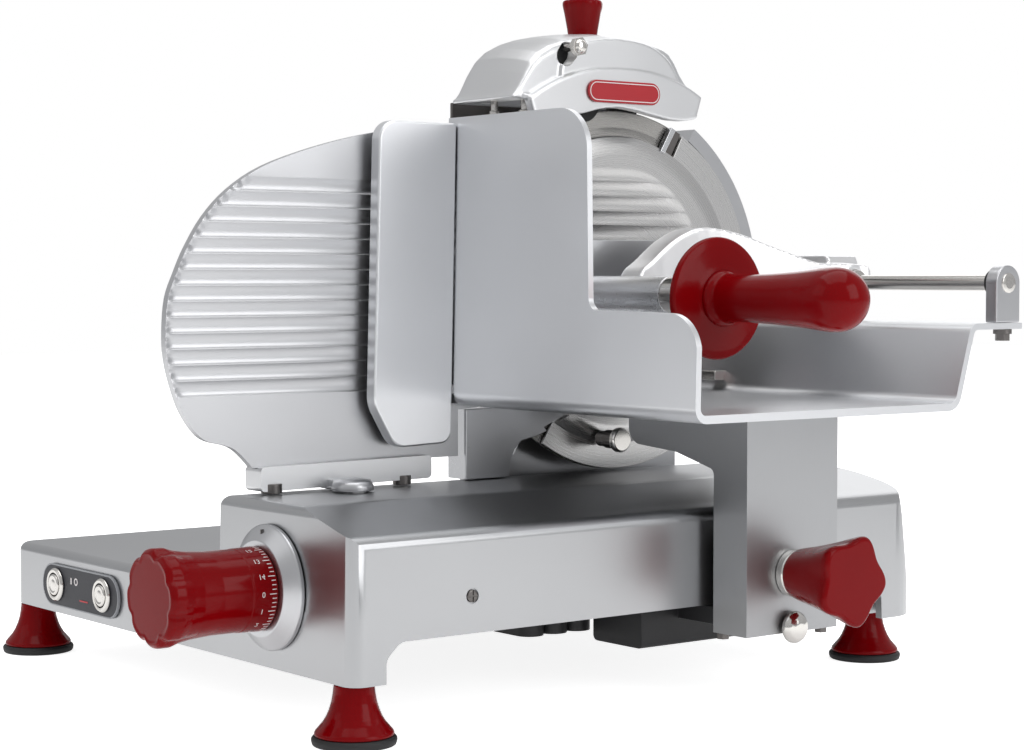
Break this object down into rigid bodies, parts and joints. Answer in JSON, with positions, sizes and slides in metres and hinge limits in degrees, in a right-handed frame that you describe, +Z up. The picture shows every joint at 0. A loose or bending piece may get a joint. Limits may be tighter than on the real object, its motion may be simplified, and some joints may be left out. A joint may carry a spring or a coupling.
{
  "type": "deli meat slicer",
  "caption": "Vertical meat slicer: low cast base on conical feet, ribbed gauge plate, round blade with cover and sharpener, and a sliding, tilting tray with a swinging pusher.",
  "frame": {"origin": "centre of the bounding box's underside, on the surface the pads stand on", "axes": "+X towards the carriage side, -Y towards the operator, +Z up; the blade turns about X and the carriage slides along Y"},
  "size_m": [0.6144, 0.5802, 0.466],
  "materials": {
    "cast_aluminium": "satin anodised casting",
    "sheet_aluminium": "satin, edges polished",
    "steel": "polished",
    "blade_steel": "ground",
    "red_gloss": "gloss",
    "black_rubber": "matt",
    "black_plastic": "matt",
    "panel_grey": "semi-matt"
  },
  "bodies": {
    "base": {"base_casting": "cast_aluminium", "bottom_cover": "black_plastic", "sump_cover": "black_plastic", "guide_rod": "steel", "cable_gland": "black_plastic", "foot_front_left": "red_gloss", "foot_front_right": "red_gloss", "foot_rear_left": "red_gloss", "foot_rear_right": "red_gloss", "pad_front_left": "black_rubber", "pad_front_right": "black_rubber", "pad_rear_left": "black_rubber", "pad_rear_right": "black_rubber", "control_panel": "panel_grey", "bezel_on": "steel", "bezel_off": "steel", "dial_collar": "cast_aluminium", "motor": "black_plastic", "drive_belt": "black_rubber", "blade_housing": "cast_aluminium", "pulley_cover": "cast_aluminium", "blade_cover": "cast_aluminium", "sharpener_post": "steel"},
    "gauge": {"gauge_plate": "cast_aluminium", "gauge_bracket": "cast_aluminium"},
    "dial": {"thickness_dial": "red_gloss", "dial_shaft": "steel"},
    "blade_rotor": {"blade": "blade_steel", "blade_shaft": "steel", "blade_pulley": "cast_aluminium"},
    "motor_rotor": {"motor_pulley": "steel"},
    "cover_screw": {"cover_knob": "steel"},
    "on_button": {"button_on": "steel"},
    "off_button": {"button_off": "steel"},
    "slide": {"slide_block": "black_plastic"},
    "carriage": {"carriage_arm": "sheet_aluminium", "tilt_pin": "steel", "carriage_tray": "sheet_aluminium", "finger_guard": "sheet_aluminium", "pusher_rod": "steel", "rod_bracket_left": "cast_aluminium", "rod_bracket_right": "cast_aluminium", "rod_bumper": "black_rubber", "star_collar": "steel"},
    "star_knob": {"carriage_knob": "red_gloss"},
    "release": {"release_pin": "steel"},
    "pusher_slide": {"rod_bushing": "steel"},
    "pusher": {"pusher_arm": "cast_aluminium", "pusher_plate": "cast_aluminium", "grip_collar": "steel", "grip_guard": "red_gloss", "pusher_grip": "red_gloss"},
    "sharpener": {"sharpener_head": "cast_aluminium", "badge": "red_gloss"},
    "sharpener_screw": {"sharpener_knob": "red_gloss"},
    "sharpener_front_button": {"sharp_button_front": "steel"},
    "sharpener_back_button": {"sharp_button_back": "steel"},
    "front_stone": {"wheel_front": "black_plastic"},
    "back_stone": {"wheel_back": "black_plastic"}
  },
  "joints": [
    {"name": "gauge_slide", "type": "slide", "parent": "base", "child": "gauge", "axis": [-1, 0, 0], "range_m": [0, 0.014]},
    {"name": "dial_turn", "type": "hinge", "parent": "base", "child": "dial", "pos_m": [0.06145, -0.2069, 0.085], "axis": [0, 1, 0], "range_deg": [0, 300.1]},
    {"name": "blade_spin", "type": "hinge", "parent": "base", "child": "blade_rotor", "pos_m": [0.01595, 0.1031, 0.2626], "axis": [1, 0, 0], "continuous": true},
    {"name": "motor_spin", "type": "hinge", "parent": "base", "child": "motor_rotor", "pos_m": [-0.03185, 0.1031, 0.104], "axis": [1, 0, 0], "continuous": true},
    {"name": "cover_screw_turn", "type": "hinge", "parent": "base", "child": "cover_screw", "pos_m": [0.02115, 0.0841, 0.16], "axis": [1, 0, 0], "continuous": true},
    {"name": "on_press", "type": "slide", "parent": "base", "child": "on_button", "axis": [0, 1, 0], "range_m": [0, 0.002], "stiffness_N_per_m": 400, "springref_m": -0.001},
    {"name": "off_press", "type": "slide", "parent": "base", "child": "off_button", "axis": [0, 1, 0], "range_m": [0, 0.002], "stiffness_N_per_m": 400, "springref_m": -0.001},
    {"name": "carriage_slide", "type": "slide", "parent": "base", "child": "slide", "axis": [0, 1, 0], "range_m": [-0.215, 0.035]},
    {"name": "carriage_tilt", "type": "hinge", "parent": "slide", "child": "carriage", "pos_m": [0.17015, 0.1071, 0.055], "axis": [0, 1, 0], "range_deg": [0, 35]},
    {"name": "star_turn", "type": "hinge", "parent": "carriage", "child": "star_knob", "pos_m": [0.18715, 0.1077, 0.0815], "axis": [1, 0, 0], "continuous": true},
    {"name": "release_pull", "type": "slide", "parent": "carriage", "child": "release", "axis": [1, 0, 0], "range_m": [0, 0.005], "stiffness_N_per_m": 300, "springref_m": -0.001},
    {"name": "pusher_slide", "type": "slide", "parent": "carriage", "child": "pusher_slide", "axis": [1, 0, 0], "range_m": [-0.025, 0.118]},
    {"name": "pusher_swing", "type": "hinge", "parent": "pusher_slide", "child": "pusher", "pos_m": [0.08915, 0.2216, 0.268], "axis": [-1, 0, 0], "range_deg": [0, 95]},
    {"name": "sharpener_lift", "type": "slide", "parent": "base", "child": "sharpener", "axis": [0, 0, 1], "range_m": [0, 0.03]},
    {"name": "sharpener_screw_turn", "type": "hinge", "parent": "sharpener", "child": "sharpener_screw", "pos_m": [-0.01135, 0.0951, 0.43], "axis": [0, 0, 1], "continuous": true},
    {"name": "front_stone_press", "type": "slide", "parent": "sharpener", "child": "sharpener_front_button", "axis": [-1, 0, 0], "range_m": [0, 0.0018], "stiffness_N_per_m": 400, "springref_m": -0.001},
    {"name": "back_stone_press", "type": "slide", "parent": "sharpener", "child": "sharpener_back_button", "axis": [1, 0, 0], "range_m": [0, 0.002], "stiffness_N_per_m": 400, "springref_m": -0.001},
    {"name": "front_stone_spin", "type": "hinge", "parent": "sharpener_front_button", "child": "front_stone", "pos_m": [0.02115, 0.0681, 0.392], "axis": [1, 0, 0], "continuous": true},
    {"name": "back_stone_spin", "type": "hinge", "parent": "sharpener_back_button", "child": "back_stone", "pos_m": [0.00815, 0.1151, 0.395], "axis": [1, 0, 0], "continuous": true}
  ],
  "couplings": [
    {"joint": "dial_turn", "follows": "gauge_slide", "rad_per_m": 374},
    {"joint": "motor_spin", "follows": "blade_spin", "ratio": 3.75}
  ]
}
